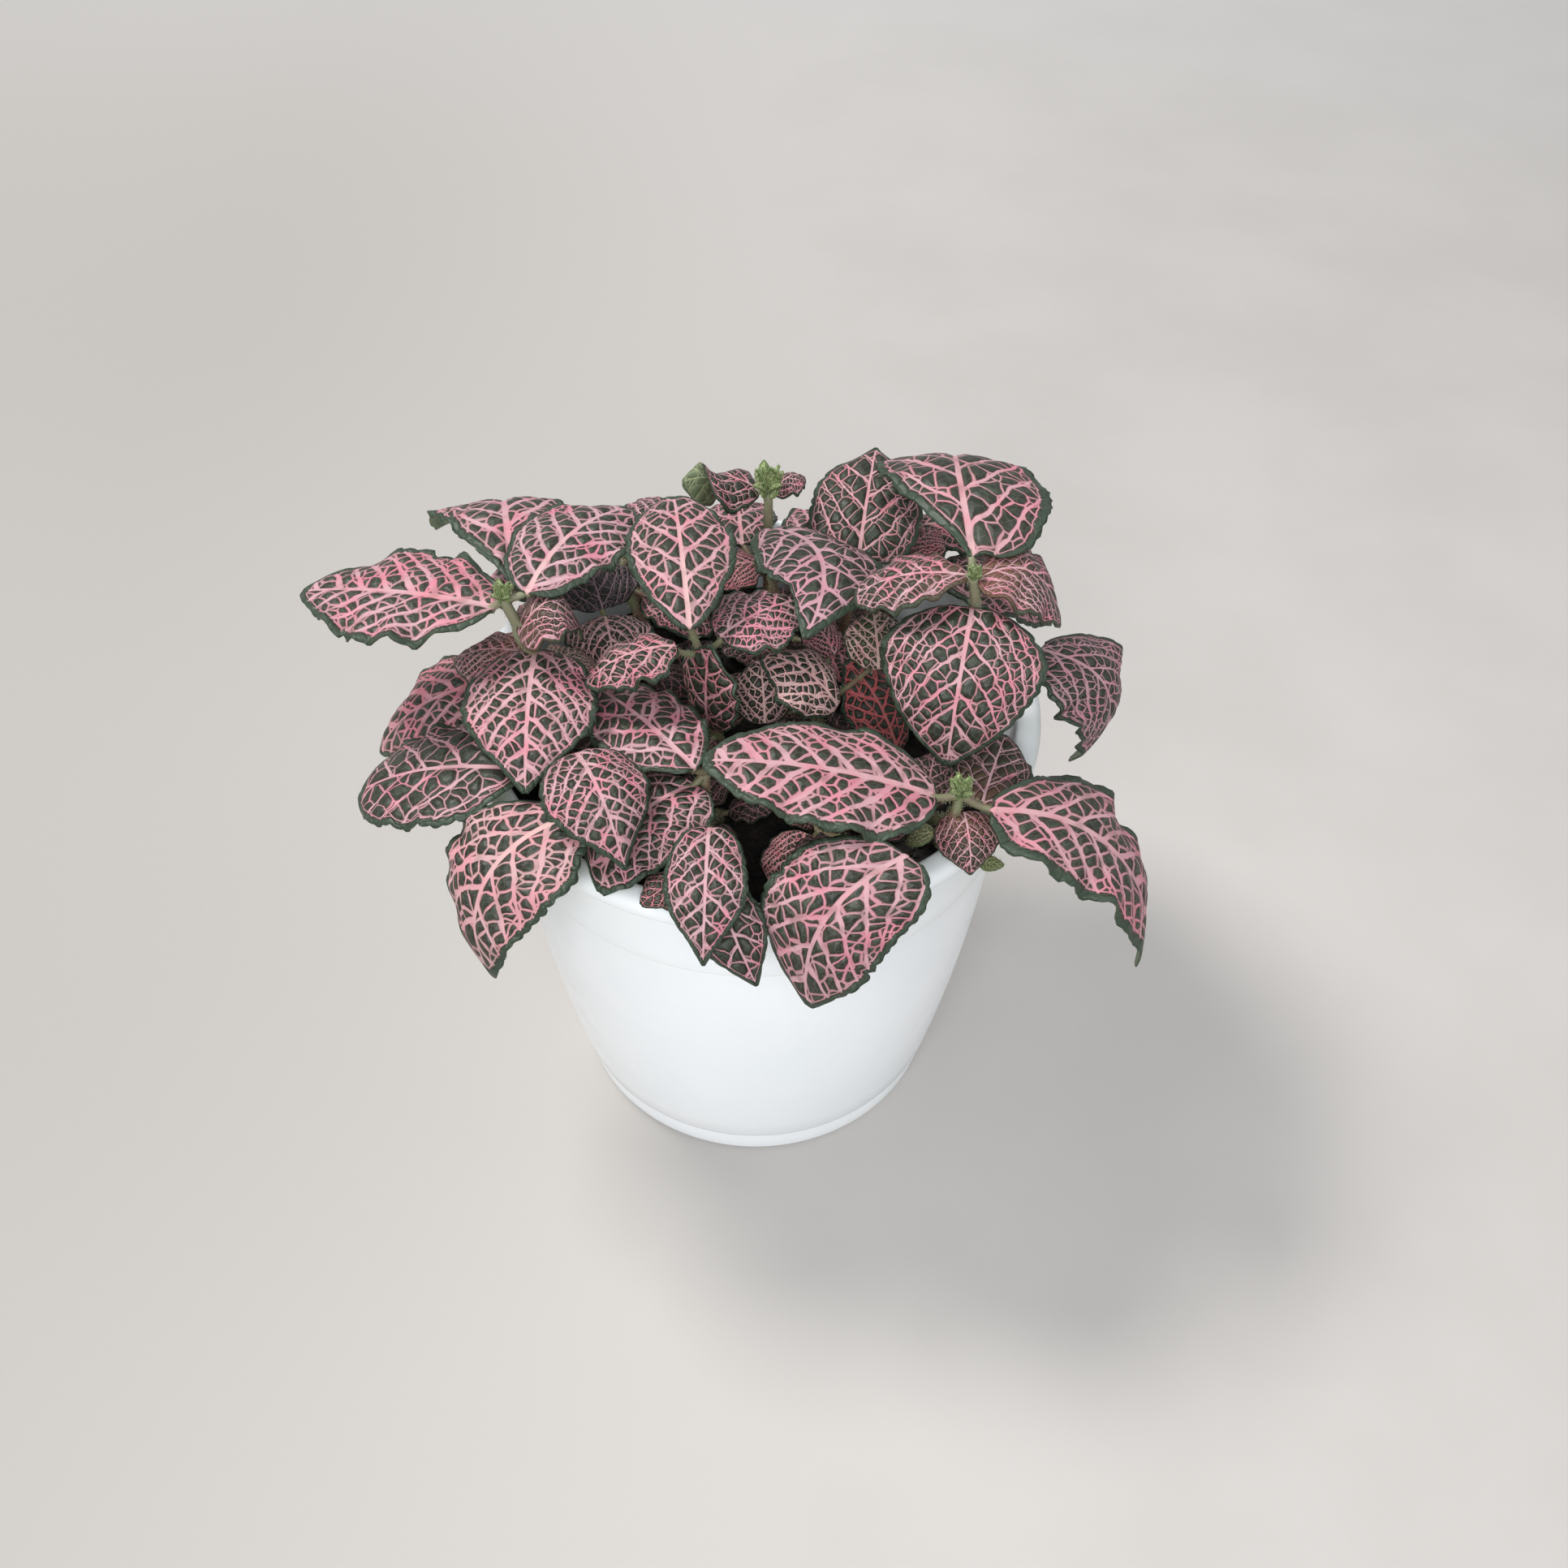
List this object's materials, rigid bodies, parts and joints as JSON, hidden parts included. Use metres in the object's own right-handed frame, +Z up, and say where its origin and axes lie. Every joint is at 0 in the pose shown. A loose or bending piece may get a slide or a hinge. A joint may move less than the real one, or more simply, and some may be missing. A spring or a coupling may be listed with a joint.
{
  "type": "potted nerve plant",
  "caption": "Low bushy nerve plant with pink-veined dark green leaves, growing in a round white glossy plastic pot with a rolled rim and a shallow tray.",
  "frame": {"origin": "middle of the tray's underside, the flat face that the pot stands on", "axes": "+Z up along the pot's axis, -Y towards the front, +X to the right as seen from the front"},
  "size_m": [0.177, 0.1437, 0.1642],
  "materials": {
    "white_plastic": "gloss",
    "potting_soil": "matte",
    "foliage": "satin"
  },
  "bodies": {
    "root": {"base_tray": "white_plastic", "pot": "white_plastic", "soil": "potting_soil", "shoot_left": "foliage", "shoot_left_low": "foliage", "shoot_front_left": "foliage", "shoot_front": "foliage", "shoot_centre": "foliage", "shoot_mid_left": "foliage", "shoot_back": "foliage", "shoot_mid_back": "foliage", "shoot_mid_right": "foliage", "shoot_back_right": "foliage", "shoot_right": "foliage", "shoot_right_front": "foliage", "shoot_front_right": "foliage", "shoot_rear_left": "foliage", "shoot_rear_right": "foliage"}
  },
  "joints": []
}
